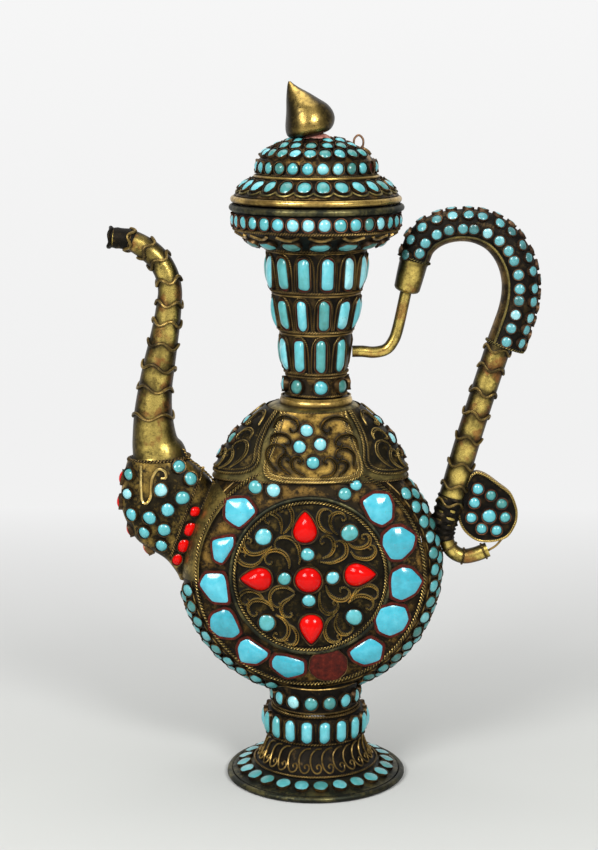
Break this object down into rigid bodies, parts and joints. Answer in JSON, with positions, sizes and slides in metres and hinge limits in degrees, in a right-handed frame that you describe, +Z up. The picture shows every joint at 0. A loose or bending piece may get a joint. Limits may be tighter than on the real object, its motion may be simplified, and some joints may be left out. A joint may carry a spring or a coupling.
{
  "type": "ewer",
  "caption": "Stone-set brass ewer with a round flattened body on a pedestal foot, tiered neck, lift-off lid, S-shaped spout and hooked handle.",
  "frame": {"origin": "centre of the foot's flat underside, on the axis of the foot and neck", "axes": "+Z up along the neck, -Y out of the front face, -X towards the spout, +X towards the handle"},
  "size_m": [0.1844, 0.0792, 0.3055],
  "materials": {
    "old_brass": "satin, bright on worn edges, brown-black in the recesses",
    "dark_brass": "dull dark patina",
    "red_coral": "polished coral cabochon",
    "blue_turquoise": "polished turquoise cabochon",
    "red_mastic": "dull setting wax",
    "pink_wax": "dull wax",
    "copper_wire": "dull copper"
  },
  "bodies": {
    "ewer": {"base_disc": "dark_brass", "foot_flange": "old_brass", "foot_skirt": "old_brass", "foot_lower_wire": "old_brass", "foot_long_tier": "old_brass", "foot_upper_wire": "old_brass", "foot_round_tier": "old_brass", "body_edge_band": "dark_brass", "front_dome": "dark_brass", "front_outer_rope": "old_brass", "front_inner_rope": "old_brass", "front_medallion": "dark_brass", "front_coral_centre": "red_coral", "front_coral_top": "red_coral", "front_coral_left": "red_coral", "front_coral_bottom": "red_coral", "front_coral_right": "red_coral", "back_dome": "dark_brass", "back_outer_rope": "old_brass", "back_inner_rope": "old_brass", "back_medallion": "dark_brass", "back_coral_centre": "red_coral", "back_coral_top": "red_coral", "back_coral_left": "red_coral", "back_coral_bottom": "red_coral", "back_coral_right": "red_coral", "shoulder_cap": "old_brass", "front_panel": "dark_brass", "back_panel": "dark_brass", "left_panel": "dark_brass", "right_panel": "dark_brass", "neck_tube": "dark_brass", "neck_ring": "old_brass", "neck_stud_tier": "old_brass", "neck_lower_tier": "old_brass", "neck_middle_tier": "old_brass", "neck_upper_tier": "old_brass", "cup_bowl": "old_brass", "cup_band": "old_brass", "cup_rim": "old_brass", "spout_bulb": "dark_brass", "spout_collar": "old_brass", "spout_tube": "old_brass", "spout_mouth_ring": "old_brass", "neck_bracket": "old_brass", "handle_socket": "old_brass", "handle_arch": "dark_brass", "handle_lining": "old_brass", "handle_tube": "old_brass", "handle_tail": "old_brass", "leaf_plate": "dark_brass", "leaf_rim": "old_brass"},
    "lid": {"lid_rim": "old_brass", "lid_sleeve": "dark_brass", "lid_skirt": "old_brass", "lid_dome": "old_brass", "lid_eyelet": "copper_wire", "finial_washer": "pink_wax", "finial": "old_brass"}
  },
  "joints": [
    {"name": "lid_lift", "type": "slide", "parent": "ewer", "child": "lid", "axis": [0, 0, 1], "range_m": [0, 0.06]}
  ]
}
